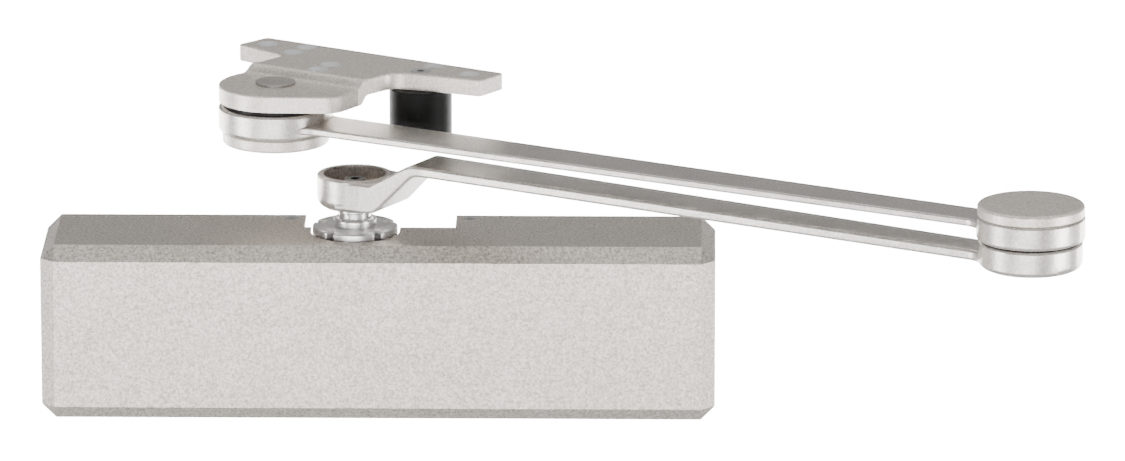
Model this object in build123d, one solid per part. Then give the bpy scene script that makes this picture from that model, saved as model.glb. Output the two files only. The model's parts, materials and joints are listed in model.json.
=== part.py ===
"""Surface-mounted door closer: full-cover body, two-piece parallel arm, soffit plate with bumper.

Frame: origin at the centre of the body's four-hole mounting pattern, on the mounting face.
+X runs along the body, +Y into the door, +Z up along the pinion. Sizes are in millimetres.
"""
from build123d import *
from math import acos, atan2, cos, degrees, hypot, pi, radians, sin, sqrt, tan
import os

# ---- cover -------------------------------------------------------------------------------------
COVER_LENGTH = 311.15
COVER_HEIGHT = 82.55
COVER_DEPTH = 62.0
COVER_WALL = 2.5
COVER_CHAMFER = 6.5
NOTCH_HALF_WIDTH = 35.0
NOTCH_DEPTH = 22.0
NOTCH_ROUND_RADIUS = 20.6
COVER_SCREW_X = 41.5
COVER_SCREW_Y = -5.5
COVER_SCREW_RADIUS = 2.0
COVER_SCREW_HEAD_RADIUS = 3.1
COVER_EDGE_ROUND = 0.5

# ---- body casting ------------------------------------------------------------------------------
PINION_X = -11.2
PINION_Y = -29.0
BORE_RADIUS = 19.0
BARREL_RADIUS = 26.0
BORE_LEFT = -90.0
BORE_RIGHT = 106.0
CAP_PLUG_LENGTH = 12.0
CAP_PLUG_RADIUS = 22.0
CAP_FLANGE_RADIUS = 21.9
CAP_FLANGE_THICKNESS = 4.0
BASE_HALF_LENGTH = 146.0
BASE_HALF_HEIGHT = 31.0
BASE_THICKNESS = 7.0
MOUNT_SPACING_X = 266.7
MOUNT_SPACING_Z = 38.1
MOUNT_HOLE_RADIUS = 3.55
VALVE_BLOCK_RIGHT = -68.0
VALVE_BLOCK_HALF_DEPTH = 27.0
VALVE_BLOCK_HALF_HEIGHT = 31.5
BOSS_RADIUS = 18.5
BOSS_TOP = 39.5
LOWER_BOSS_TOP = 37.7
BEARING_BORE_RADIUS = 13.0
BEARING_BOTTOM = 20.5
BEARING_TOP = 32.5
CAP_THREAD_RADIUS = 15.5
CAP_THREAD_BOTTOM = 33.2
FIT = 0.05
SLIP = 0.02

# ---- pinion and rack ---------------------------------------------------------------------------
GEAR_MODULE = 2.0
GEAR_TEETH = 10
PRESSURE_ANGLE = 25.0
TOOTH_ADDENDUM = 1.6
TOOTH_DEDENDUM = 2.1
TOOTH_BACKLASH = 0.3
GEAR_HALF_WIDTH = 13.0
JOURNAL_RADIUS = 8.5
NECK_RADIUS = 7.5
PINION_TRAVEL_DEG = 170.0
PITCH_RADIUS = GEAR_MODULE * GEAR_TEETH / 2
PISTON_TRAVEL = PITCH_RADIUS * radians(PINION_TRAVEL_DEG)

# ---- pinion cap --------------------------------------------------------------------------------
NUT_RADIUS = 19.7
NUT_BOTTOM = 39.8
NUT_TOP = 44.6
LOWER_NUT_BOTTOM = 38.0
LOWER_NUT_TOP = 42.4
NUT_LOBES = 5
NUT_SLOT_RADIUS = 1.5
NUT_SLOT_DEPTH = 4.2
HUB_RADIUS = 9.8
HUB_TOP = 48.6

# ---- piston and springs ------------------------------------------------------------------------
PISTON_CLEARANCE = 0.04
PISTON_LEFT = -72.0
PISTON_RIGHT = 18.0
WINDOW_END_GAP = 1.8
SPRING_PLATE_X = 98.0
SPRING_PLATE_THICKNESS = 6.0
OUTER_SPRING = {"mean_radius": 15.2, "wire_radius": 2.4, "turns": 7.5}
INNER_SPRING = {"mean_radius": 9.6, "wire_radius": 1.6, "turns": 9.5}
ADJUSTER_RADIUS = 4.0
ADJUSTER_INNER_END = 82.0

# ---- valves ------------------------------------------------------------------------------------
VALVE_RADIUS = 3.4
VALVE_DEPTH = 22.0
VALVES = {"sweep": (-20.0, 22.0), "latch": (-20.0, -22.0), "backcheck": (12.0, 25.5)}

# ---- main arm ----------------------------------------------------------------------------------
MAIN_ARM_LENGTH = 354.5
MAIN_ARM_ANGLE = -30.25
CUP_RADIUS = 17.5
CUP_BORE_RADIUS = 14.6
CUP_BOTTOM = 53.5
CUP_FLOOR = 61.5
CUP_RIM = 69.0
MAIN_BAR_BOTTOM = 75.2
MAIN_BAR_TOP = 80.0
MAIN_RING_BOTTOM = 73.9
MAIN_RING_TOP = 85.9
MAIN_RING_RADIUS = 23.2
BEND_ROUND = 8.0
BLADE_EDGE_ROUND = 1.3
SPINDLE_SQUARE = 11.0

# ---- forearm, elbow and soffit pivot -----------------------------------------------------------
SOFFIT_PIVOT_X = -47.9
SOFFIT_PIVOT_Y = -21.9
ELBOW_RING_RADIUS = 24.2
ELBOW_RING_BOTTOM = 86.6
ELBOW_RING_TOP = 97.5
PIVOT_RING_RADIUS = 26.4
PIVOT_RING_BOTTOM = 88.0
PIVOT_RING_TOP = 100.0
FOREARM_BAR_BOTTOM = 90.9
FOREARM_BAR_TOP = 94.5
FOREARM_SOFFIT_WIDTH = 26.0
FOREARM_ELBOW_WIDTH = 19.0
PIN_RADIUS = 9.0
BUSHING_RADIUS = 12.0
ELBOW_CAP_RADIUS = 23.9
ELBOW_CAP_TOP = 102.7
PIVOT_CAP_RADIUS = 24.6
PIVOT_CAP_BOTTOM = 82.4
ARM_NECK_ROUND = 9.0

# ---- soffit plate (its own axes: pivot at the origin, +x along the back edge) -------------------
PLATE_ANGLE = -31.0
PLATE_THICKNESS = 7.6
FLANGE_TOP = 114.0
JOGGLE_DROP = 4.2
JOGGLE_FRONT = 10.0
JOGGLE_BACK = 13.2
TONGUE_RADIUS = 26.2
TONGUE_CORNER_AT = (29.5, -2.5)
TONGUE_CORNER_RADIUS = 9.5
PLATE_EDGE_ROUND = 0.7
RIVET_HEAD_RADIUS = 9.25
PLATE_HOLE_RADIUS = 3.3
PLATE_SINK_RADIUS = 4.9
PLATE_MOUNT_HOLES = [(-36.0, 48.0), (75.5, 48.0), (11.0, 19.0), (11.0, 29.5)]
PLATE_BUMPER_HOLES = [(-17.0, 40.5), (-17.0, 52.0), (53.0, 52.5)]
BUMPER_AT = (53.0, 41.5)
BUMPER_RADIUS = 14.5
BUMPER_BOTTOM = 81.5

# ---- places that follow from the sizes above ----------------------------------------------------
ELBOW_X = PINION_X + MAIN_ARM_LENGTH * cos(radians(MAIN_ARM_ANGLE))
ELBOW_Y = PINION_Y + MAIN_ARM_LENGTH * sin(radians(MAIN_ARM_ANGLE))
FOREARM_LENGTH = hypot(ELBOW_X - SOFFIT_PIVOT_X, ELBOW_Y - SOFFIT_PIVOT_Y)
FOREARM_ANGLE = degrees(atan2(ELBOW_Y - SOFFIT_PIVOT_Y, ELBOW_X - SOFFIT_PIVOT_X))
FLANGE_BOTTOM = FLANGE_TOP - PLATE_THICKNESS
TONGUE_TOP = FLANGE_TOP - JOGGLE_DROP
TONGUE_BOTTOM = TONGUE_TOP - PLATE_THICKNESS
BARREL_LEFT = BORE_LEFT - CAP_PLUG_LENGTH
BARREL_RIGHT = BORE_RIGHT + CAP_PLUG_LENGTH
PINION_PLACE = Pos(PINION_X, PINION_Y, 0)
MAIN_ARM_PLACE = PINION_PLACE * Rot(0, 0, MAIN_ARM_ANGLE)
ELBOW_PLACE = Pos(ELBOW_X, ELBOW_Y, 0)
SOFFIT_PLACE = Pos(SOFFIT_PIVOT_X, SOFFIT_PIVOT_Y, 0)
FOREARM_PLACE = SOFFIT_PLACE * Rot(0, 0, FOREARM_ANGLE)
PLATE_PLACE = SOFFIT_PLACE * Rot(0, 0, PLATE_ANGLE)


# ---- small helpers -----------------------------------------------------------------------------
def disc(radius, bottom, top, x=0.0, y=0.0):
    """Upright cylinder between two heights."""
    return Pos(x, y, (bottom + top) / 2) * Cylinder(radius, top - bottom)


def ring(outer, inner, bottom, top, x=0.0, y=0.0):
    """Upright tube between two heights."""
    return disc(outer, bottom, top, x, y) - disc(inner, bottom - 1, top + 1, x, y)


def rod(radius, left, right, y=PINION_Y, z=0.0):
    """Cylinder along X between two stations."""
    return Pos((left + right) / 2, y, z) * Rot(0, 90, 0) * Cylinder(radius, right - left)


def block(x0, x1, y0, y1, z0, z1):
    """Box between two corners."""
    return Pos((x0 + x1) / 2, (y0 + y1) / 2, (z0 + z1) / 2) * Box(x1 - x0, y1 - y0, z1 - z0)


def rim_edges(shape, height):
    """Circular edges that lie at one height."""
    circles = shape.edges().filter_by(GeomType.CIRCLE)
    return circles.filter_by_position(Axis.Z, height - 0.01, height + 0.01)


def rounded_disc(radius, bottom, top, bottom_round, top_round):
    """Upright cylinder with both rims rounded."""
    shape = disc(radius, bottom, top)
    shape = fillet(rim_edges(shape, top), top_round)
    return fillet(rim_edges(shape, bottom), bottom_round)


# ---- body pieces -------------------------------------------------------------------------------
def chamfered_shell(half_length, half_height, depth, chamfer_size):
    """Box from the mounting plane forward, with its front and lengthwise corner edges cut off."""
    box = block(-half_length, half_length, -depth, 0, -half_height, half_height)
    return chamfer(front_edges(box), chamfer_size)


def front_edges(shape):
    """Edges that don't lie on the mounting plane."""
    return [edge for edge in shape.edges() if edge.center().Y < -0.01]


def notch_cutter():
    """Cut through the cover's top and bottom walls that clears the pinion caps."""
    straight = block(-NOTCH_HALF_WIDTH, NOTCH_HALF_WIDTH, -NOTCH_DEPTH, 1, -50, 50)
    rounded = disc(NOTCH_ROUND_RADIUS, -50, 50, PINION_X, PINION_Y)
    throat = block(PINION_X - NOTCH_ROUND_RADIUS, PINION_X + NOTCH_ROUND_RADIUS, PINION_Y, 0, -50, 50)
    return straight + rounded + throat


def cover_screw_places():
    """Axis positions of the cover screws, top pair first, with the side each one is on."""
    return [(x, side) for side in (1, -1) for x in (-COVER_SCREW_X, COVER_SCREW_X)]


def make_cover():
    inner_chamfer = COVER_CHAMFER - COVER_WALL * (2 - sqrt(2))
    outer = chamfered_shell(COVER_LENGTH / 2, COVER_HEIGHT / 2, COVER_DEPTH, COVER_CHAMFER)
    outer = fillet(front_edges(outer), COVER_EDGE_ROUND)
    inner = chamfered_shell(
        COVER_LENGTH / 2 - COVER_WALL,
        COVER_HEIGHT / 2 - COVER_WALL,
        COVER_DEPTH - COVER_WALL,
        inner_chamfer,
    )
    walls_only = block(-100, 100, -60, 1, 30, 50) + block(-100, 100, -60, 1, -50, -30)
    cover = outer - inner - (notch_cutter() & walls_only)
    for x, side in cover_screw_places():
        place = Pos(x, COVER_SCREW_Y, side * COVER_HEIGHT / 2) * Rot(90 - 90 * side, 0, 0)
        cover -= place * (disc(COVER_SCREW_RADIUS + 0.2, -6, 1) + cover_screw_head(0.1))
    return cover


def cover_screw_head(clearance):
    """Countersunk head whose top is at height 0, pointing up."""
    height = COVER_SCREW_HEAD_RADIUS - COVER_SCREW_RADIUS
    wide = COVER_SCREW_HEAD_RADIUS + clearance
    return Pos(0, 0, -height / 2) * Cone(wide - height, wide, height)


def make_cover_screws():
    screws = []
    for x, side in cover_screw_places():
        screw = disc(COVER_SCREW_RADIUS, -9, -1) + cover_screw_head(0.0)
        screw -= Pos(0, 0, -0.5) * Box(3.4, 0.8, 1.2) + Pos(0, 0, -0.5) * Box(0.8, 3.4, 1.2)
        place = Pos(x, COVER_SCREW_Y, side * COVER_HEIGHT / 2) * Rot(90 - 90 * side, 0, 30)
        screws.append(place * screw)
    return Compound(children=screws)


def valve_place(name):
    """(y, z) of a valve's axis."""
    dy, dz = VALVES[name]
    return PINION_Y + dy, dz


def make_body_casting():
    half_depth = VALVE_BLOCK_HALF_DEPTH
    half_height = VALVE_BLOCK_HALF_HEIGHT
    body = rod(BARREL_RADIUS, BARREL_LEFT, BARREL_RIGHT)
    valve_block = block(
        BARREL_LEFT,
        VALVE_BLOCK_RIGHT,
        PINION_Y - half_depth,
        PINION_Y + half_depth,
        -half_height,
        half_height,
    )
    lengthwise = valve_block.edges().filter_by(Axis.X).sort_by(Axis.Y)[:2]
    body += chamfer(lengthwise, 4)
    base = block(
        -BASE_HALF_LENGTH,
        BASE_HALF_LENGTH,
        -BASE_THICKNESS,
        0,
        -BASE_HALF_HEIGHT,
        BASE_HALF_HEIGHT,
    )
    body += fillet(base.edges().filter_by(Axis.Y), 8)
    body += block(BARREL_LEFT, BARREL_RIGHT, -20, -BASE_THICKNESS + 1, -20, 20)
    body += disc(BOSS_RADIUS, -LOWER_BOSS_TOP, BOSS_TOP, PINION_X, PINION_Y)
    for x, side in cover_screw_places():
        lug_top = COVER_HEIGHT / 2 - COVER_WALL - 0.2
        z0, z1 = sorted((side * (BASE_HALF_HEIGHT - 3), side * lug_top))
        body += block(x - 5, x + 5, -BASE_THICKNESS - 1, -0.5, z0, z1)
        z0, z1 = sorted((side * 29, side * 45))
        body -= disc(COVER_SCREW_RADIUS, z0, z1, x, COVER_SCREW_Y)
    body -= rod(BORE_RADIUS, BORE_LEFT - 1, BORE_RIGHT + 1)
    body -= rod(CAP_PLUG_RADIUS, BARREL_LEFT - 1, BORE_LEFT)
    body -= rod(CAP_PLUG_RADIUS, BORE_RIGHT, BARREL_RIGHT + 1)
    for side in (1, -1):
        z0, z1 = sorted((side * 10, side * 50))
        body -= disc(BEARING_BORE_RADIUS, z0, z1, PINION_X, PINION_Y)
        z0, z1 = sorted((side * (CAP_THREAD_BOTTOM - 0.5), side * 50))
        body -= disc(CAP_THREAD_RADIUS, z0, z1, PINION_X, PINION_Y)
    for name in VALVES:
        y, z = valve_place(name)
        body -= rod(VALVE_RADIUS + FIT, BARREL_LEFT - 1, BARREL_LEFT + VALVE_DEPTH, y, z)
    for x in (-MOUNT_SPACING_X / 2, MOUNT_SPACING_X / 2):
        for z in (-MOUNT_SPACING_Z / 2, MOUNT_SPACING_Z / 2):
            body -= Pos(x, 0, z) * Rot(90, 0, 0) * Cylinder(MOUNT_HOLE_RADIUS, 30)
    return body


def end_cap(side):
    """Threaded plug with a slotted flange, as a shape along +X from its inner face at 0."""
    plug = rod(CAP_PLUG_RADIUS - FIT, 0, CAP_PLUG_LENGTH, 0)
    plug -= rod(CAP_PLUG_RADIUS + 1, 4, 6.4, 0) - rod(CAP_PLUG_RADIUS - 2.2, 4, 6.4, 0)
    outer_end = CAP_PLUG_LENGTH + CAP_FLANGE_THICKNESS
    cap = plug + rod(CAP_FLANGE_RADIUS, CAP_PLUG_LENGTH, outer_end, 0)
    for angle in (0, 90, 180, 270):
        cap -= Rot(angle, 0, 0) * Pos(outer_end, CAP_FLANGE_RADIUS - 3, 0) * Box(5, 6, 5)
    start = BORE_RIGHT if side > 0 else BORE_LEFT
    turn = Rot(0, 0, 0) if side > 0 else Rot(0, 0, 180)
    return Pos(start, PINION_Y, 0) * turn * cap


def make_spring_end_cap():
    return end_cap(1) - rod(ADJUSTER_RADIUS + FIT, BORE_RIGHT - 1, BARREL_RIGHT + 10)


def make_valve_end_cap():
    return end_cap(-1)


def o_ring(x, minor, outer, y=PINION_Y, z=0.0):
    """O-ring about an axis along X."""
    return Pos(x, y, z) * Rot(0, 90, 0) * Torus(outer - minor, minor)


def make_end_cap_orings():
    outer = CAP_PLUG_RADIUS - 0.02
    right = o_ring(BORE_RIGHT + 5.2, 1.05, outer)
    left = o_ring(BORE_LEFT - 5.2, 1.05, outer)
    return Compound(children=[right, left])


def bearing(side):
    z0, z1 = sorted((side * BEARING_BOTTOM, side * BEARING_TOP))
    shell = ring(BEARING_BORE_RADIUS - 0.01, JOURNAL_RADIUS + FIT, z0, z1)
    return PINION_PLACE * shell


def make_upper_pinion_bearing():
    return bearing(1)


def make_lower_pinion_bearing():
    return bearing(-1)


def seal(side):
    z0, z1 = sorted((side * (CAP_THREAD_BOTTOM + 0.3), side * (CAP_THREAD_BOTTOM + 4.3)))
    inner = NECK_RADIUS + FIT if side > 0 else 2.0
    return PINION_PLACE * ring(11.9, inner, z0, z1)


def make_upper_pinion_seal():
    return seal(1)


def make_lower_pinion_seal():
    return seal(-1)


# ---- pinion caps -------------------------------------------------------------------------------
def lobed_outline():
    """Round plan with open slots round its rim, the corners of the lobes rounded."""
    plan = Rot(0, 0, 90) * Circle(NUT_RADIUS)
    for index in range(NUT_LOBES):
        slot = Pos(NUT_RADIUS, 0) * Rectangle(2 * NUT_SLOT_DEPTH, 2 * NUT_SLOT_RADIUS)
        slot += Pos(NUT_RADIUS - NUT_SLOT_DEPTH, 0) * Circle(NUT_SLOT_RADIUS)
        plan -= Rot(0, 0, -90 + (index + 0.5) * 360 / NUT_LOBES) * slot
    mouths = [v for v in plan.vertices() if hypot(v.X, v.Y) > NUT_RADIUS - 0.5]
    return fillet(mouths, 1.4)


def pinion_cap(bottom, top):
    """Lobed cap: a slotted flange between two heights over a threaded skirt."""
    flange = Pos(0, 0, bottom) * extrude(lobed_outline(), top - bottom)
    flange = fillet(flange.edges().filter_by_position(Axis.Z, top - 0.01, top + 0.01), 1.1)
    cap = flange + disc(CAP_THREAD_RADIUS - FIT, CAP_THREAD_BOTTOM, bottom + 1)
    return cap - disc(12.0, CAP_THREAD_BOTTOM - 1, CAP_THREAD_BOTTOM + 4.6)


def make_upper_pinion_cap():
    cap = pinion_cap(NUT_BOTTOM, NUT_TOP)
    cap += rounded_disc(HUB_RADIUS, NUT_TOP - 1, HUB_TOP, 0.3, 1.6)
    return PINION_PLACE * (cap - disc(NECK_RADIUS + FIT, 30, 60))


def make_lower_pinion_cap():
    return PINION_PLACE * Rot(180, 0, 0) * pinion_cap(LOWER_NUT_BOTTOM, LOWER_NUT_TOP)


# ---- pinion shaft ------------------------------------------------------------------------------
def involute(angle):
    return tan(angle) - angle


def gear_points():
    """Outline of the pinion, one tooth centred on +Y, as points on involute flanks."""
    base_radius = PITCH_RADIUS * cos(radians(PRESSURE_ANGLE))
    tip_radius = PITCH_RADIUS + TOOTH_ADDENDUM
    root_radius = PITCH_RADIUS - TOOTH_DEDENDUM
    half_at_pitch = (pi * GEAR_MODULE / 2 - TOOTH_BACKLASH) / (2 * PITCH_RADIUS)
    flank = []
    steps = 5
    for step in range(steps + 1):
        radius = base_radius + (tip_radius - base_radius) * step / steps
        roll = involute(acos(min(1.0, base_radius / radius)))
        flank.append((radius, half_at_pitch + involute(radians(PRESSURE_ANGLE)) - roll))
    flank.insert(0, (root_radius, flank[0][1]))
    points = []
    for tooth in range(GEAR_TEETH):
        middle = pi / 2 + tooth * 2 * pi / GEAR_TEETH
        side_a = [(radius, middle - half) for radius, half in flank]
        side_b = [(radius, middle + half) for radius, half in reversed(flank)]
        points += [(radius * cos(a), radius * sin(a)) for radius, a in side_a + side_b]
    return points


def make_pinion_shaft():
    teeth = extrude(make_face(Polyline(*gear_points(), close=True)), 2 * GEAR_HALF_WIDTH)
    shaft = Pos(0, 0, -GEAR_HALF_WIDTH) * Rot(0, 0, -MAIN_ARM_ANGLE) * teeth
    shaft += disc(NECK_RADIUS, -GEAR_HALF_WIDTH - 1, GEAR_HALF_WIDTH + 1)
    shaft += disc(JOURNAL_RADIUS, -CAP_THREAD_BOTTOM, -GEAR_HALF_WIDTH - 0.4)
    shaft += disc(JOURNAL_RADIUS, GEAR_HALF_WIDTH + 0.4, CAP_THREAD_BOTTOM)
    shaft += disc(NECK_RADIUS, CAP_THREAD_BOTTOM - 1, CUP_BOTTOM)
    collar = disc(NECK_RADIUS + 0.9, 51.0, 52.4)
    shaft += fillet(collar.edges().filter_by(GeomType.CIRCLE), 0.5)
    shaft += Pos(0, 0, (CUP_BOTTOM + CUP_FLOOR) / 2 - 0.6) * Box(
        SPINDLE_SQUARE, SPINDLE_SQUARE, CUP_FLOOR - CUP_BOTTOM
    )
    shaft -= disc(2.6, CUP_FLOOR - 18, CUP_FLOOR + 1)
    return MAIN_ARM_PLACE * shaft


# ---- piston ------------------------------------------------------------------------------------
def window_outline():
    """Opening through the piston with rack teeth along its +Y side, in row coordinates."""
    pitch = pi * GEAR_MODULE
    pitch_line = PINION_Y + PITCH_RADIUS
    tip_line = pitch_line - TOOTH_ADDENDUM
    root_line = pitch_line + TOOTH_DEDENDUM
    slope = tan(radians(PRESSURE_ANGLE))
    half = (pitch / 2 - TOOTH_BACKLASH) / 2
    left = window_left()
    right = window_right()
    far_side = PINION_Y - PITCH_RADIUS - TOOTH_ADDENDUM - 0.6
    points = [(left, far_side), (right, far_side), (right, root_line)]
    count = int((right - left - 4) / pitch)
    for index in range(count):
        centre = PINION_X + pitch * (1.5 - index)
        points.append((centre + half + TOOTH_DEDENDUM * slope, root_line))
        points.append((centre + half - TOOTH_ADDENDUM * slope, tip_line))
        points.append((centre - half + TOOTH_ADDENDUM * slope, tip_line))
        points.append((centre - half - TOOTH_DEDENDUM * slope, root_line))
    points.append((left, root_line))
    return points


def window_left():
    return PINION_X - PITCH_RADIUS - TOOTH_ADDENDUM - PISTON_TRAVEL - WINDOW_END_GAP


def window_right():
    return PINION_X + PITCH_RADIUS + TOOTH_ADDENDUM + WINDOW_END_GAP


SEAT_RIGHT = PISTON_LEFT + 6.0
BALL_CHAMBER_RIGHT = SEAT_RIGHT + 7.0
BALL_RADIUS = 2.5
PORT_RADIUS = 1.8


def make_rack_piston():
    piston = rod(BORE_RADIUS - PISTON_CLEARANCE, PISTON_LEFT, PISTON_RIGHT)
    outline = make_face(Polyline(*window_outline(), close=True))
    piston -= Pos(0, 0, -GEAR_HALF_WIDTH - 0.3) * extrude(outline, 2 * GEAR_HALF_WIDTH + 0.6)
    far_side = PINION_Y - PITCH_RADIUS - TOOTH_ADDENDUM - 0.6
    for side in (1, -1):
        z0, z1 = sorted((side * (GEAR_HALF_WIDTH + 0.2), side * 25))
        piston -= block(window_left(), window_right(), far_side, 0, z0, z1)
    for x in seal_stations():
        piston -= rod(BORE_RADIUS + 1, x, x + 2.4) - rod(BORE_RADIUS - 2, x, x + 2.4)
    piston -= rod(5.0, PISTON_LEFT - 1, SEAT_RIGHT)
    piston -= rod(BALL_RADIUS + 0.3, SEAT_RIGHT - 1, BALL_CHAMBER_RIGHT)
    piston -= rod(1.5, BALL_CHAMBER_RIGHT - 1, window_left() + 1)
    piston -= rod(7.0, PISTON_RIGHT - 8, PISTON_RIGHT + 1)
    return piston


def seal_stations():
    """Left faces of the two piston seal grooves."""
    return [PISTON_LEFT + 9.0, PISTON_RIGHT - 6.0]


def make_piston_seals():
    seals = []
    for x in seal_stations():
        band = rod(BORE_RADIUS - 0.02, x + 0.1, x + 2.3) - rod(BORE_RADIUS - 1.9, x, x + 3)
        seals.append(band)
    return Compound(children=seals)


def make_check_valve_seat():
    return rod(4.98, PISTON_LEFT, SEAT_RIGHT) - rod(PORT_RADIUS, PISTON_LEFT - 1, SEAT_RIGHT + 1)


def make_check_valve_ball():
    seated = sqrt(BALL_RADIUS**2 - PORT_RADIUS**2)
    return Pos(SEAT_RIGHT + seated + 0.06, PINION_Y, 0) * Sphere(BALL_RADIUS)


# ---- springs and their adjuster ----------------------------------------------------------------
def coil_spring(mean_radius, wire_radius, turns):
    start = PISTON_RIGHT + wire_radius + 0.15
    length = SPRING_PLATE_X - wire_radius - 0.15 - start
    path = Helix(length / turns, length, mean_radius, (start, PINION_Y, 0), (1, 0, 0))
    section = Plane(path @ 0, z_dir=path % 0) * Circle(wire_radius)
    return sweep(section, path, is_frenet=True)


def make_outer_spring():
    return coil_spring(**OUTER_SPRING)


def make_inner_spring():
    return coil_spring(**INNER_SPRING)


def make_spring_adjuster_plate():
    plate = rod(BORE_RADIUS - 0.1, SPRING_PLATE_X, SPRING_PLATE_X + SPRING_PLATE_THICKNESS)
    plate += rod(7.2, SPRING_PLATE_X - 4, SPRING_PLATE_X + 1)
    return plate - rod(ADJUSTER_RADIUS + FIT, SPRING_PLATE_X - 10, SPRING_PLATE_X + 12)


def make_spring_adjuster_screw():
    head_left = BARREL_RIGHT + CAP_FLANGE_THICKNESS + 0.3
    screw = rod(ADJUSTER_RADIUS, ADJUSTER_INNER_END, head_left + 1)
    head = extrude(RegularPolygon(6.5, 6), 6)
    screw += Pos(head_left, PINION_Y, 0) * Rot(0, 90, 0) * head
    groove = BORE_RIGHT - 1.6
    screw -= rod(ADJUSTER_RADIUS + 1, groove, groove + 1.2) - rod(3.0, groove, groove + 1.2)
    return screw


def make_adjuster_clip():
    groove = BORE_RIGHT - 1.6
    clip = rod(6.5, groove + 0.1, groove + 1.1) - rod(3.02, groove, groove + 2)
    return clip - block(groove - 1, groove + 3, PINION_Y - 8, PINION_Y, -2.2, 2.2)


# ---- valves ------------------------------------------------------------------------------------
def make_valve(name):
    """Needle screw with a driver slot, its head flush in the valve block's end face."""
    y, z = valve_place(name)
    left = BARREL_LEFT + 0.5
    tip = BARREL_LEFT + VALVE_DEPTH - 1
    screw = rod(VALVE_RADIUS, left, tip - 4, y, z)
    cone = Rot(0, 90, 0) * Cone(VALVE_RADIUS, 0.6, 3.5)
    screw += Pos(tip - 4 + 1.75, y, z) * cone
    groove = left + 5
    screw -= rod(VALVE_RADIUS + 1, groove, groove + 1.3, y, z) - rod(2.2, groove, groove + 1.3, y, z)
    return screw - Pos(left, y, z) * Box(2.4, 1.1, 8)


def make_valve_oring(name):
    y, z = valve_place(name)
    return o_ring(BARREL_LEFT + 0.5 + 5.65, 0.58, VALVE_RADIUS + 0.03, y, z)


# ---- arms --------------------------------------------------------------------------------------
def arm_plan(outline, round_ends):
    """Plan of an arm: a bar outline joined to round ends, the inner corners filled in."""
    plan = make_face(Polyline(*outline, close=True))
    corners = []
    for x, radius in round_ends:
        plan += Pos(x, 0) * Circle(radius)
    for x, radius in round_ends:
        corners += [v for v in plan.vertices() if abs(hypot(v.X - x, v.Y) - radius) < 0.01]
    corners = [v for v in corners if abs(v.Y) > 2]
    return fillet(corners, ARM_NECK_ROUND)


def main_arm_web():
    """Arm blade: rises from the cup's wall to the level bar, narrowing as it goes."""
    far_end = MAIN_ARM_LENGTH + 20
    side = Polyline(
        (0, 55.0),
        (19, 55.0),
        (39, MAIN_BAR_BOTTOM),
        (far_end, MAIN_BAR_BOTTOM),
        (far_end, MAIN_BAR_TOP),
        (37, MAIN_BAR_TOP),
        (17, 68.5),
        (0, 68.5),
        close=True,
    )
    blade = extrude(Plane.XZ * make_face(side), 25, both=True)
    outline = [
        (0, -CUP_RADIUS),
        (12, -CUP_RADIUS + 1.8),
        (44, -12.2),
        (MAIN_ARM_LENGTH, -9.5),
        (MAIN_ARM_LENGTH, 9.5),
        (44, 12.2),
        (12, CUP_RADIUS - 1.8),
        (0, CUP_RADIUS),
    ]
    plan = arm_plan(outline, [(MAIN_ARM_LENGTH, MAIN_RING_RADIUS)])
    web = blade & (Pos(0, 0, 50) * extrude(plan, 40))
    bends = [edge for edge in web.edges() if is_bend(edge)]
    web = fillet(bends, BEND_ROUND)
    return fillet([edge for edge in web.edges() if is_blade_edge(edge)], BLADE_EDGE_ROUND)


def is_bend(edge):
    """True for the four lines across the blade where its side profile turns."""
    middle = edge.center()
    return edge.length > 15 and abs(middle.Y) < 1 and 10 < middle.X < 60


def is_blade_edge(edge):
    """True for the edges along the blade's two long sides, clear of the cup and the elbow."""
    middle = edge.center()
    along_side = abs(middle.Y) > 8.5 and abs((edge % 0.5).Z) < 0.9
    return along_side and 14 < middle.X < MAIN_ARM_LENGTH - 14


def make_main_arm():
    arm = rounded_disc(CUP_RADIUS, CUP_BOTTOM, CUP_RIM, 5.0, 0.8)
    arm += main_arm_web()
    elbow = rounded_disc(MAIN_RING_RADIUS, MAIN_RING_BOTTOM, MAIN_RING_TOP, 3.6, 1.0)
    arm += Pos(MAIN_ARM_LENGTH, 0, 0) * elbow
    arm -= disc(CUP_BORE_RADIUS, CUP_FLOOR, MAIN_BAR_TOP + 5)
    arm -= Pos(0, 0, CUP_BOTTOM) * Box(SPINDLE_SQUARE + 0.1, SPINDLE_SQUARE + 0.1, 30)
    arm -= disc(PIN_RADIUS + SLIP, MAIN_RING_BOTTOM + 1.9, MAIN_RING_TOP + 1, MAIN_ARM_LENGTH)
    return MAIN_ARM_PLACE * arm


def make_arm_washer():
    return MAIN_ARM_PLACE * ring(9.0, 2.8, CUP_FLOOR, CUP_FLOOR + 1.6)


def make_arm_screw():
    seat = CUP_FLOOR + 1.6
    screw = disc(2.55, CUP_FLOOR - 16, seat + 0.5) + rounded_disc(5.0, seat, seat + 3.4, 0.2, 1.0)
    socket = Pos(0, 0, seat + 1.4) * extrude(RegularPolygon(2.3, 6), 4)
    return MAIN_ARM_PLACE * (screw - socket)


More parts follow.
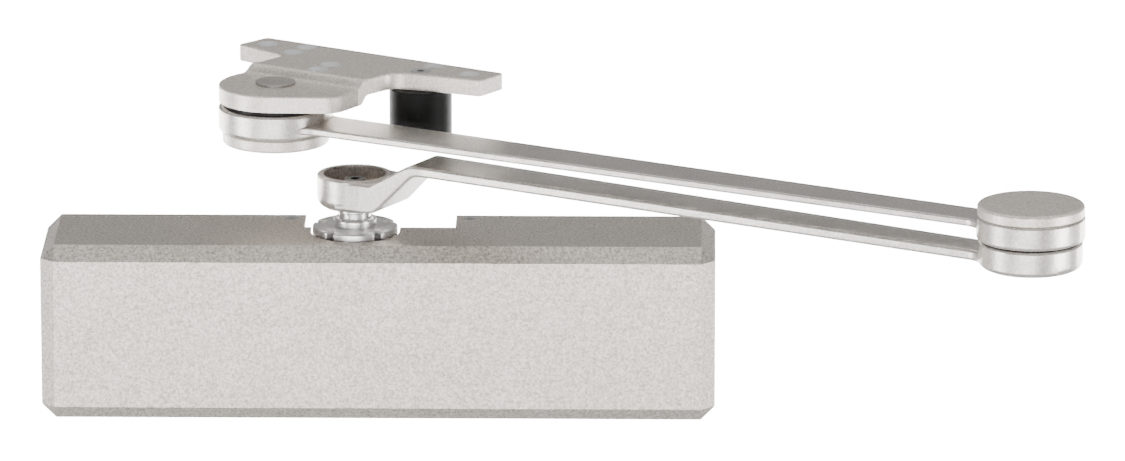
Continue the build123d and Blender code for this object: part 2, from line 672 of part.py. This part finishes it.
def make_forearm():
    """Flat tapered bar with a thick ring at each end, each ring bored for its bushing."""
    start = FOREARM_SOFFIT_WIDTH / 2
    end = FOREARM_ELBOW_WIDTH / 2
    outline = [(0, -start), (FOREARM_LENGTH, -end), (FOREARM_LENGTH, end), (0, start)]
    round_ends = [(0, PIVOT_RING_RADIUS), (FOREARM_LENGTH, ELBOW_RING_RADIUS)]
    bar = extrude(arm_plan(outline, round_ends), FOREARM_BAR_TOP - FOREARM_BAR_BOTTOM)
    long_edges = [edge for edge in bar.edges() if edge.length > 100]
    arm = Pos(0, 0, FOREARM_BAR_BOTTOM) * fillet(long_edges, 1.0)
    pivot_ring = rounded_disc(PIVOT_RING_RADIUS, PIVOT_RING_BOTTOM, PIVOT_RING_TOP, 2.2, 1.4)
    elbow_ring = rounded_disc(ELBOW_RING_RADIUS, ELBOW_RING_BOTTOM, ELBOW_RING_TOP, 1.8, 1.0)
    arm += pivot_ring + Pos(FOREARM_LENGTH, 0, 0) * elbow_ring
    for x in (0, FOREARM_LENGTH):
        arm -= disc(BUSHING_RADIUS, ELBOW_RING_BOTTOM - 5, PIVOT_RING_TOP + 5, x)
    return FOREARM_PLACE * arm


def bushing(bottom, top):
    return ring(BUSHING_RADIUS - SLIP, PIN_RADIUS + FIT, bottom, top)


def make_elbow_bushing():
    return ELBOW_PLACE * bushing(ELBOW_RING_BOTTOM, ELBOW_RING_TOP)


def make_pivot_bushing():
    return SOFFIT_PLACE * bushing(PIVOT_RING_BOTTOM, PIVOT_RING_TOP)


def make_elbow_pin():
    return ELBOW_PLACE * disc(PIN_RADIUS, MAIN_RING_BOTTOM + 2, ELBOW_RING_TOP + 2)


def make_elbow_washer():
    shape = ring(22.0, PIN_RADIUS + SLIP, MAIN_RING_TOP, ELBOW_RING_BOTTOM - 0.1)
    return ELBOW_PLACE * shape


def make_elbow_cap():
    cap = rounded_disc(ELBOW_CAP_RADIUS, ELBOW_RING_TOP + 0.15, ELBOW_CAP_TOP, 0.5, 1.4)
    return ELBOW_PLACE * (cap - disc(PIN_RADIUS + SLIP, ELBOW_RING_TOP - 1, ELBOW_RING_TOP + 2))


def make_pivot_pin():
    pin = disc(PIN_RADIUS, PIVOT_CAP_BOTTOM + 2, TONGUE_TOP)
    pin += rounded_disc(RIVET_HEAD_RADIUS, TONGUE_TOP, TONGUE_TOP + 1.2, 0.1, 0.5)
    return SOFFIT_PLACE * pin


def make_pivot_cap():
    cap = rounded_disc(PIVOT_CAP_RADIUS, PIVOT_CAP_BOTTOM, PIVOT_RING_BOTTOM - 0.15, 1.2, 0.4)
    bore = disc(PIN_RADIUS + SLIP, PIVOT_CAP_BOTTOM + 2, PIVOT_RING_BOTTOM + 1)
    return SOFFIT_PLACE * (cap - bore)


def make_pivot_washer():
    return SOFFIT_PLACE * ring(24.2, PIN_RADIUS + SLIP, PIVOT_RING_TOP + 0.15, TONGUE_BOTTOM)


# ---- soffit plate and bumper -------------------------------------------------------------------
def plate_outline():
    """Plan of the soffit plate in its own axes, without the round tongue."""
    return FilletPolyline(
        (-43.5, 58.5),
        (-47.5, 40),
        (-17.5, 33.5),
        (-21, 9),
        (-21, 0),
        (36, 0),
        (39.5, 10),
        (44, 32),
        (63, 36.5),
        (86.5, 40),
        (88, 58.5),
        radius=[2, 2, 4, 6, 1, 1, 6, 9, 9, 2, 2],
        close=True,
    )


def tongue_outline():
    """Round end about the pivot and a rounded corner beside it, drawn back to the fold's two ends."""
    end = CenterArc((0, 0), TONGUE_RADIUS, 0, 360)
    corner = CenterArc(TONGUE_CORNER_AT, TONGUE_CORNER_RADIUS, 0, 360)
    fold = Line((-21, JOGGLE_BACK), (39.5, JOGGLE_BACK))
    return make_hull(end.edges() + corner.edges() + fold.edges())


def make_soffit_plate():
    plan = make_face(plate_outline()) + tongue_outline()
    reach = 70
    side = FilletPolyline(
        (-reach, TONGUE_BOTTOM),
        (JOGGLE_FRONT + 1.5, TONGUE_BOTTOM),
        (JOGGLE_BACK + 1.5, FLANGE_BOTTOM),
        (reach, FLANGE_BOTTOM),
        (reach, FLANGE_TOP),
        (JOGGLE_BACK, FLANGE_TOP),
        (JOGGLE_FRONT, TONGUE_TOP),
        (-reach, TONGUE_TOP),
        radius=[1, 3, 3, 1, 1, 3, 3, 1],
        close=True,
    )
    profile = extrude(Plane.YZ * make_face(side), 100, both=True)
    plate = profile & (Pos(0, 0, 90) * extrude(plan, 40))
    plate = fillet([edge for edge in plate.edges() if is_plate_rim(edge)], PLATE_EDGE_ROUND)
    for x, y in PLATE_MOUNT_HOLES + PLATE_BUMPER_HOLES:
        plate -= disc(PLATE_HOLE_RADIUS, 90, 130, x, y)
        plate -= plate_sink(x, y)
    plate -= disc(2.6, 90, 130, *BUMPER_AT)
    plate -= plate_sink(*BUMPER_AT)
    plate -= disc(PIN_RADIUS + SLIP, 90, 130)
    return PLATE_PLACE * plate


def is_plate_rim(edge):
    """True for the outline's edges on the upper side of the plate, joggle included."""
    middle = edge.center()
    upright = abs((edge % 0.5).Z) > 0.95
    along_fold = edge.length > 50 and abs(middle.Y - JOGGLE_BACK) < 6 and abs((edge % 0.5).X) > 0.999
    upper = TONGUE_TOP if middle.Y < JOGGLE_BACK + 3 else FLANGE_TOP
    return middle.Z > upper - 0.01 and not upright and not along_fold


def plate_sink(x, y):
    """Countersink open at the top face."""
    depth = PLATE_SINK_RADIUS - 2.6
    return Pos(x, y, FLANGE_TOP - depth / 2) * Cone(2.6, PLATE_SINK_RADIUS, depth)


def make_bumper():
    x, y = BUMPER_AT
    body = rounded_disc(BUMPER_RADIUS, BUMPER_BOTTOM, FLANGE_BOTTOM, 1.0, 0.3)
    body -= disc(2.5, FLANGE_BOTTOM - 14, FLANGE_BOTTOM + 1)
    return PLATE_PLACE * Pos(x, y, 0) * body


def make_bumper_screw():
    x, y = BUMPER_AT
    depth = PLATE_SINK_RADIUS - 2.6
    screw = disc(2.5, FLANGE_BOTTOM - 13, FLANGE_TOP - 1)
    screw += Pos(0, 0, FLANGE_TOP - depth / 2) * Cone(2.3, PLATE_SINK_RADIUS - 0.3, depth)
    screw -= Pos(0, 0, FLANGE_TOP - 2) * extrude(RegularPolygon(1.9, 6), 4)
    return PLATE_PLACE * Pos(x, y, 0) * screw


# ---- output ------------------------------------------------------------------------------------
def all_nodes():
    """Every sub-part by name."""
    makers = {
        "cover": make_cover,
        "cover_screws": make_cover_screws,
        "body_casting": make_body_casting,
        "spring_end_cap": make_spring_end_cap,
        "valve_end_cap": make_valve_end_cap,
        "end_cap_orings": make_end_cap_orings,
        "upper_pinion_bearing": make_upper_pinion_bearing,
        "lower_pinion_bearing": make_lower_pinion_bearing,
        "upper_pinion_seal": make_upper_pinion_seal,
        "lower_pinion_seal": make_lower_pinion_seal,
        "upper_pinion_cap": make_upper_pinion_cap,
        "lower_pinion_cap": make_lower_pinion_cap,
        "pinion_shaft": make_pinion_shaft,
        "rack_piston": make_rack_piston,
        "piston_seals": make_piston_seals,
        "check_valve_seat": make_check_valve_seat,
        "check_valve_ball": make_check_valve_ball,
        "outer_spring": make_outer_spring,
        "inner_spring": make_inner_spring,
        "spring_adjuster_plate": make_spring_adjuster_plate,
        "spring_adjuster_screw": make_spring_adjuster_screw,
        "adjuster_clip": make_adjuster_clip,
        "main_arm": make_main_arm,
        "arm_washer": make_arm_washer,
        "arm_screw": make_arm_screw,
        "forearm": make_forearm,
        "elbow_bushing": make_elbow_bushing,
        "pivot_bushing": make_pivot_bushing,
        "elbow_pin": make_elbow_pin,
        "elbow_washer": make_elbow_washer,
        "elbow_cap": make_elbow_cap,
        "pivot_pin": make_pivot_pin,
        "pivot_cap": make_pivot_cap,
        "pivot_washer": make_pivot_washer,
        "soffit_plate": make_soffit_plate,
        "bumper": make_bumper,
        "bumper_screw": make_bumper_screw,
    }
    shapes = {name: maker() for name, maker in makers.items()}
    for name in VALVES:
        shapes[f"{name}_valve"] = make_valve(name)
        shapes[f"{name}_valve_oring"] = make_valve_oring(name)
    return shapes


os.makedirs("parts", exist_ok=True)
for node, shape in all_nodes().items():
    export_step(shape, f"parts/{node}.step")
print("soffit pivot to elbow", round(FOREARM_LENGTH, 2), "at", round(FOREARM_ANGLE, 2))
print("elbow at", round(ELBOW_X, 3), round(ELBOW_Y, 3), "piston travel", round(PISTON_TRAVEL, 3))
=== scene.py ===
"""Looks of the surface door closer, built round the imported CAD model."""

import json
from math import cos, radians, sin

import bpy
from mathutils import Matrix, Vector

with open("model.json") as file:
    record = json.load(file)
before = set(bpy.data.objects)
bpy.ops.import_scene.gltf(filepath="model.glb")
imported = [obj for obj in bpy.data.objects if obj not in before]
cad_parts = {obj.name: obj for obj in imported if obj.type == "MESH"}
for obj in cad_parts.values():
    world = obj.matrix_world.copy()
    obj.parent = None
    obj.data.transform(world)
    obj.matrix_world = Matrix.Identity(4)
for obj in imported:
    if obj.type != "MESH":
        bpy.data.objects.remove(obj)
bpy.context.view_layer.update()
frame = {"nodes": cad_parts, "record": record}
NODES = frame["nodes"]

# ---- camera: the studio view, a long lens a little above the cover ------------------------------
CAMERA_AZIMUTH = radians(0.9)
CAMERA_ELEVATION = radians(14.9)
CAMERA_AIM = Vector((0.0853, -0.0620, 0.0507))
CAMERA_DISTANCE = 4.362
CAMERA_LENS = 304.0
SENSOR_WIDTH = 36.0


def make_camera():
    back = Vector((
        sin(CAMERA_AZIMUTH) * cos(CAMERA_ELEVATION),
        -cos(CAMERA_AZIMUTH) * cos(CAMERA_ELEVATION),
        sin(CAMERA_ELEVATION),
    ))
    data = bpy.data.cameras.new("camera")
    data.lens = CAMERA_LENS
    data.sensor_width = SENSOR_WIDTH
    data.clip_end = 100.0
    camera = bpy.data.objects.new("camera", data)
    camera.rotation_mode = "QUATERNION"
    camera.location = CAMERA_AIM + back * CAMERA_DISTANCE
    camera.rotation_quaternion = (-back).to_track_quat("-Z", "Y")
    bpy.context.scene.collection.objects.link(camera)
    bpy.context.scene.camera = camera


# ---- node helpers ------------------------------------------------------------------------------
class Graph:
    """A material's node tree with short ways to add and join nodes."""

    def __init__(self, name):
        self.material = bpy.data.materials.new(name)
        self.material.use_nodes = True
        self.tree = self.material.node_tree
        self.shader = self.tree.nodes["Principled BSDF"]
        self.coordinates = self.add("ShaderNodeTexCoord").outputs["Object"]

    def add(self, kind, **settings):
        node = self.tree.nodes.new(kind)
        for key, value in settings.items():
            setattr(node, key, value)
        return node

    def link(self, output, socket):
        self.tree.links.new(output, socket)

    def noise(self, scale, detail=2.0, roughness=0.5, stretch=None):
        """Noise factor output; scale is in cells per metre."""
        node = self.add("ShaderNodeTexNoise")
        node.inputs["Scale"].default_value = scale
        node.inputs["Detail"].default_value = detail
        node.inputs["Roughness"].default_value = roughness
        if stretch:
            mapping = self.add("ShaderNodeMapping")
            mapping.inputs["Scale"].default_value = stretch
            self.link(self.coordinates, mapping.inputs["Vector"])
            self.link(mapping.outputs["Vector"], node.inputs["Vector"])
        else:
            self.link(self.coordinates, node.inputs["Vector"])
        return node.outputs["Fac"]

    def cells(self, scale):
        """Random grey per small cell, for metal flakes."""
        node = self.add("ShaderNodeTexVoronoi")
        node.inputs["Scale"].default_value = scale
        self.link(self.coordinates, node.inputs["Vector"])
        grey = self.add("ShaderNodeSeparateColor")
        self.link(node.outputs["Color"], grey.inputs["Color"])
        return grey.outputs["Red"]

    def remap(self, value, low, high):
        """Stretches a value that runs from 0 to 1 to run from low to high."""
        node = self.add("ShaderNodeMapRange")
        node.inputs["To Min"].default_value = low
        node.inputs["To Max"].default_value = high
        self.link(value, node.inputs["Value"])
        return node.outputs["Result"]

    def ramp(self, value, stops):
        node = self.add("ShaderNodeValToRGB")
        ramp = node.color_ramp
        while len(ramp.elements) < len(stops):
            ramp.elements.new(0.5)
        for element, (position, colour) in zip(ramp.elements, stops):
            element.position = position
            element.color = (*colour, 1.0)
        self.link(value, node.inputs["Fac"])
        return node.outputs["Color"]

    def times(self, a, b):
        """Product of two colours."""
        node = self.add("ShaderNodeMix", data_type="RGBA", blend_type="MULTIPLY")
        node.inputs["Factor"].default_value = 1.0
        self.link(a, node.inputs["A"])
        self.link(b, node.inputs["B"])
        return node.outputs["Result"]

    def bump(self, heights):
        """Chains bump nodes for (height output, distance in metres, strength)."""
        normal = None
        for height, distance, strength in heights:
            node = self.add("ShaderNodeBump")
            node.inputs["Distance"].default_value = distance
            node.inputs["Strength"].default_value = strength
            self.link(height, node.inputs["Height"])
            if normal is not None:
                self.link(normal, node.inputs["Normal"])
            normal = node.outputs["Normal"]
        self.link(normal, self.shader.inputs["Normal"])

    def constant(self, **values):
        """Sets shader sockets; an underscore in a key stands for a space."""
        for key, value in values.items():
            self.shader.inputs[key.replace("_", " ")].default_value = value


def grey(value, warmth=0.0):
    """Linear grey, tipped towards red and away from blue by warmth."""
    return (value * (1 + warmth), value, value * (1 - warmth))


# ---- materials ---------------------------------------------------------------------------------
PAINT_WARMTH = 0.095
ARM_WARMTH = 0.06


def silver_paint(name, base, speckle_scale, contrast, roughness, metallic=0.7):
    """Sprayed aluminium paint: bright and dull specks over fine flakes and a faint cloudiness."""
    graph = Graph(name)
    speckle = graph.noise(speckle_scale, 3.0, 0.8)
    flakes = graph.cells(speckle_scale * 2.1)
    clouds = graph.noise(28.0, 3.0, 0.6)
    speckle_colour = graph.ramp(speckle, [
        (0.34, grey(base * (1 - contrast), PAINT_WARMTH)),
        (0.50, grey(base * (1 - contrast * 0.45), PAINT_WARMTH)),
        (0.66, grey(base, PAINT_WARMTH * 0.8)),
    ])
    flake_colour = graph.ramp(flakes, [(0.0, grey(0.80)), (0.6, grey(0.92)), (1.0, grey(1.0))])
    cloud_colour = graph.ramp(clouds, [(0.3, grey(0.955)), (0.7, grey(1.0))])
    colour = graph.times(graph.times(speckle_colour, flake_colour), cloud_colour)
    graph.link(colour, graph.shader.inputs["Base Color"])
    graph.link(graph.remap(flakes, roughness - 0.07, roughness + 0.07), graph.shader.inputs["Roughness"])
    graph.constant(Metallic=metallic)
    graph.bump([(speckle, 0.00012, 0.30), (clouds, 0.0004, 0.06)])
    return graph.material


def cast_silver(name, base, roughness, metallic=0.85):
    """Silver paint over a sand-cast or forged arm: coarser grain and a soft undulation."""
    graph = Graph(name)
    grain = graph.noise(900.0, 4.0, 0.8)
    flakes = graph.cells(1900.0)
    hammer = graph.noise(170.0, 2.0, 0.5)
    clouds = graph.noise(38.0, 3.0, 0.6)
    grain_colour = graph.ramp(grain, [
        (0.33, grey(base * 0.62, ARM_WARMTH)),
        (0.52, grey(base * 0.86, ARM_WARMTH)),
        (0.68, grey(base, ARM_WARMTH * 0.7)),
    ])
    flake_colour = graph.ramp(flakes, [(0.0, grey(0.82)), (0.7, grey(0.95)), (1.0, grey(1.0))])
    stain = graph.ramp(clouds, [(0.28, grey(0.88, 0.008)), (0.6, grey(1.0))])
    colour = graph.times(graph.times(grain_colour, flake_colour), stain)
    graph.link(colour, graph.shader.inputs["Base Color"])
    graph.link(graph.remap(grain, roughness - 0.08, roughness + 0.10), graph.shader.inputs["Roughness"])
    graph.constant(Metallic=metallic)
    graph.bump([(grain, 0.00018, 0.42), (hammer, 0.0006, 0.25)])
    return graph.material


def plain_metal(name, colour, roughness, turned=False, metallic=1.0, stain=0.85):
    """Machined or plated metal with fine scratches, turning marks and faint staining."""
    graph = Graph(name)
    stretch = (1.0, 1.0, 12.0) if turned else (6.0, 1.0, 1.0)
    scratches = graph.noise(900.0, 3.0, 0.6, stretch)
    clouds = graph.noise(140.0, 3.0, 0.6)
    dark = tuple(c * stain for c in colour)
    graph.link(graph.ramp(clouds, [(0.3, dark), (0.65, colour)]), graph.shader.inputs["Base Color"])
    graph.link(graph.remap(scratches, roughness - 0.06, roughness + 0.10), graph.shader.inputs["Roughness"])
    graph.constant(Metallic=metallic)
    graph.bump([(scratches, 0.00005, 0.3), (clouds, 0.0003, 0.1)])
    return graph.material


def cast_iron(name):
    """Dark painted sand casting."""
    graph = Graph(name)
    sand = graph.noise(700.0, 5.0, 0.7)
    clouds = graph.noise(45.0, 3.0, 0.6)
    iron = graph.ramp(clouds, [(0.3, grey(0.055)), (0.7, grey(0.085, 0.02))])
    graph.link(iron, graph.shader.inputs["Base Color"])
    graph.link(graph.remap(sand, 0.55, 0.8), graph.shader.inputs["Roughness"])
    graph.constant(Metallic=0.4)
    graph.bump([(sand, 0.0003, 0.6), (clouds, 0.001, 0.2)])
    return graph.material


def black_rubber(name, base=0.003, roughness=0.52):
    """Moulded rubber or nylon with a fine grain and a faint bloom."""
    graph = Graph(name)
    grain = graph.noise(1800.0, 3.0, 0.6)
    bloom = graph.noise(60.0, 3.0, 0.6)
    black = graph.ramp(bloom, [(0.35, grey(base)), (0.75, grey(base * 2.0, 0.02))])
    graph.link(black, graph.shader.inputs["Base Color"])
    graph.link(graph.remap(grain, roughness - 0.06, roughness + 0.1), graph.shader.inputs["Roughness"])
    graph.constant(Specular_IOR_Level=0.10)
    graph.bump([(grain, 0.00005, 0.3)])
    return graph.material


MATERIALS = {
    "silver_paint": silver_paint("sprayed_silver", 0.84, 800.0, 0.60, 0.44, 0.80),
    "silver_arm": cast_silver("cast_silver", 0.80, 0.33),
    "plated_nut": plain_metal("plated_nut_metal", grey(0.84, 0.01), 0.27),
    "bright_steel": plain_metal("bright_steel_metal", grey(0.80, 0.005), 0.22, turned=True),
    "dark_steel": plain_metal("oiled_steel_metal", grey(0.16, 0.01), 0.34),
    "spring_steel": plain_metal("spring_wire_metal", (0.11, 0.115, 0.13), 0.32),
    "cast_iron": cast_iron("painted_iron"),
    "brass": plain_metal("turned_brass", (0.72, 0.52, 0.22), 0.26, turned=True),
    "bronze": plain_metal("sintered_bronze", (0.42, 0.27, 0.13), 0.45),
    "black_rubber": black_rubber("moulded_rubber"),
    "black_nylon": black_rubber("black_nylon_plastic", 0.008, 0.36),
}

# finishes of single nodes that differ from their material slot
SOFFIT_SILVER = silver_paint("plate_silver", 0.96, 850.0, 0.36, 0.44, 0.55)
# painted highlight: the near-white hole walls stand in for the glint of light seen in the plate's holes
HOLE_GLINT_PAINT = plain_metal("painted_hole_glint", grey(0.93), 0.5, metallic=0.25, stain=0.95)
RIVET_SILVER = cast_silver("rivet_silver", 0.62, 0.42)
BARE_STEEL = plain_metal("bare_steel", grey(0.80), 0.30)
NODE_FINISHES = {
    "soffit_plate": SOFFIT_SILVER,
    "elbow_cap": SOFFIT_SILVER,
    "pivot_cap": SOFFIT_SILVER,
    "pivot_pin": RIVET_SILVER,
    "bumper_screw": BARE_STEEL,
}


# ---- holes in the soffit plate, from the plate's own axes ----------------------------------------
PLATE_PIVOT = (-0.0479, -0.0219)
PLATE_ANGLE = radians(-31.0)
PLATE_HOLES = [
    (-0.036, 0.048), (0.0755, 0.048), (0.011, 0.019), (0.011, 0.0295),
    (-0.017, 0.0405), (-0.017, 0.052), (0.053, 0.0525), (0.053, 0.0415),
]
HOLE_RADIUS = 0.0051
FLAT_FACE_NORMAL = 0.95


def plate_point(u, v):
    """Place in the frame of a point given along and across the plate."""
    x = PLATE_PIVOT[0] + u * cos(PLATE_ANGLE) - v * sin(PLATE_ANGLE)
    y = PLATE_PIVOT[1] + u * sin(PLATE_ANGLE) + v * cos(PLATE_ANGLE)
    return x, y


def paint_hole_glints(piece, places, radius, finish):
    """Gives the walls of round holes, but not the flat faces round them, the given finish; for the soffit
    plate this is a painted highlight that stands in for the glint of light in the holes.
    """
    mesh = piece.data
    mesh.materials.append(finish)
    slot = len(mesh.materials) - 1
    world = piece.matrix_world
    turn = world.to_3x3()
    for polygon in mesh.polygons:
        upright = abs((turn @ polygon.normal).z)
        centre = world @ polygon.center
        near = any((centre.x - x) ** 2 + (centre.y - y) ** 2 < radius ** 2 for x, y in places)
        if near and upright < FLAT_FACE_NORMAL:
            polygon.material_index = slot


def dress_cad_nodes():
    for row in frame["record"]["subparts"]:
        node = row["node"]
        mesh = NODES[node].data
        mesh.materials.clear()
        mesh.materials.append(NODE_FINISHES.get(node, MATERIALS[row["material_slot"]]))
    places = [plate_point(u, v) for u, v in PLATE_HOLES]
    # paints near-white glints of light onto the walls of the plate's holes
    paint_hole_glints(NODES["soffit_plate"], places, HOLE_RADIUS, HOLE_GLINT_PAINT)


# ---- studio ------------------------------------------------------------------------------------
FLOOR_HEIGHT = -0.42
FLOOR_SIZE = 60.0
WORLD_FRONT = 0.30
WORLD_BACK = 0.40
WORLD_OVERHEAD = 0.70


def make_floor():
    bpy.ops.mesh.primitive_plane_add(size=FLOOR_SIZE, location=(0, 0, FLOOR_HEIGHT))
    floor = bpy.context.object
    floor.name = "studio_floor"
    graph = Graph("pale_floor")
    tone = graph.noise(3.0, 2.0, 0.5)
    graph.link(graph.ramp(tone, [(0.3, grey(0.90)), (0.7, grey(0.92))]), graph.shader.inputs["Base Color"])
    graph.constant(Roughness=0.9)
    floor.data.materials.append(graph.material)


def make_world():
    """Soft even room, a little brighter behind the object and dimmer overhead."""
    world = bpy.data.worlds.new("studio")
    bpy.context.scene.world = world
    world.use_nodes = True
    tree = world.node_tree
    background = tree.nodes["Background"]
    background.inputs["Color"].default_value = (1.0, 0.99, 0.98, 1.0)
    direction = tree.nodes.new("ShaderNodeTexCoord")
    split = tree.nodes.new("ShaderNodeSeparateXYZ")
    tree.links.new(direction.outputs["Generated"], split.inputs["Vector"])
    strength = world_ramp(tree, split.outputs["Y"], -0.1, 0.7, WORLD_FRONT, WORLD_BACK)
    fade = world_ramp(tree, split.outputs["Z"], 0.25, 0.75, 1.0, WORLD_OVERHEAD)
    product = tree.nodes.new("ShaderNodeMath")
    product.operation = "MULTIPLY"
    tree.links.new(strength, product.inputs[0])
    tree.links.new(fade, product.inputs[1])
    tree.links.new(product.outputs["Value"], background.inputs["Strength"])


def world_ramp(tree, value, start, end, low, high):
    """Smooth step from low to high as value goes from start to end."""
    node = tree.nodes.new("ShaderNodeMapRange")
    node.interpolation_type = "SMOOTHSTEP"
    node.inputs["From Min"].default_value = start
    node.inputs["From Max"].default_value = end
    node.inputs["To Min"].default_value = low
    node.inputs["To Max"].default_value = high
    tree.links.new(value, node.inputs["Value"])
    return node.outputs["Result"]


def make_light(name, location, aim, size, power, spread=180.0):
    data = bpy.data.lights.new(name, "AREA")
    data.shape = "RECTANGLE"
    data.size, data.size_y = size
    data.energy = power
    data.spread = radians(spread)
    light = bpy.data.objects.new(name, data)
    light.location = location
    direction = Vector(aim) - Vector(location)
    light.rotation_mode = "QUATERNION"
    light.rotation_quaternion = direction.to_track_quat("-Z", "Y")
    light.visible_camera = False
    bpy.context.scene.collection.objects.link(light)


def make_lights():
    make_light("key_softbox", (-0.3, -2.6, -0.08), (0.05, -0.05, 0.0), (2.4, 0.6), 30.0, 120.0)
    make_light("left_softbox", (-1.9, -0.9, -0.2), (0.0, -0.05, 0.0), (0.9, 0.4), 30.0)
    make_light("right_softbox", (2.0, -0.9, -0.2), (0.1, -0.05, 0.0), (0.9, 0.4), 36.0)
    make_light("top_softbox", (0.1, 0.3, 1.9), (0.1, -0.05, 0.0), (3.4, 2.6), 22.0, 150.0)
    make_light("backdrop_wash", (0.1, 1.85, -0.1), (0.1, 1.85, -1.0), (4.5, 2.2), 560.0, 120.0)


make_camera()
make_floor()
make_world()
make_lights()
dress_cad_nodes()
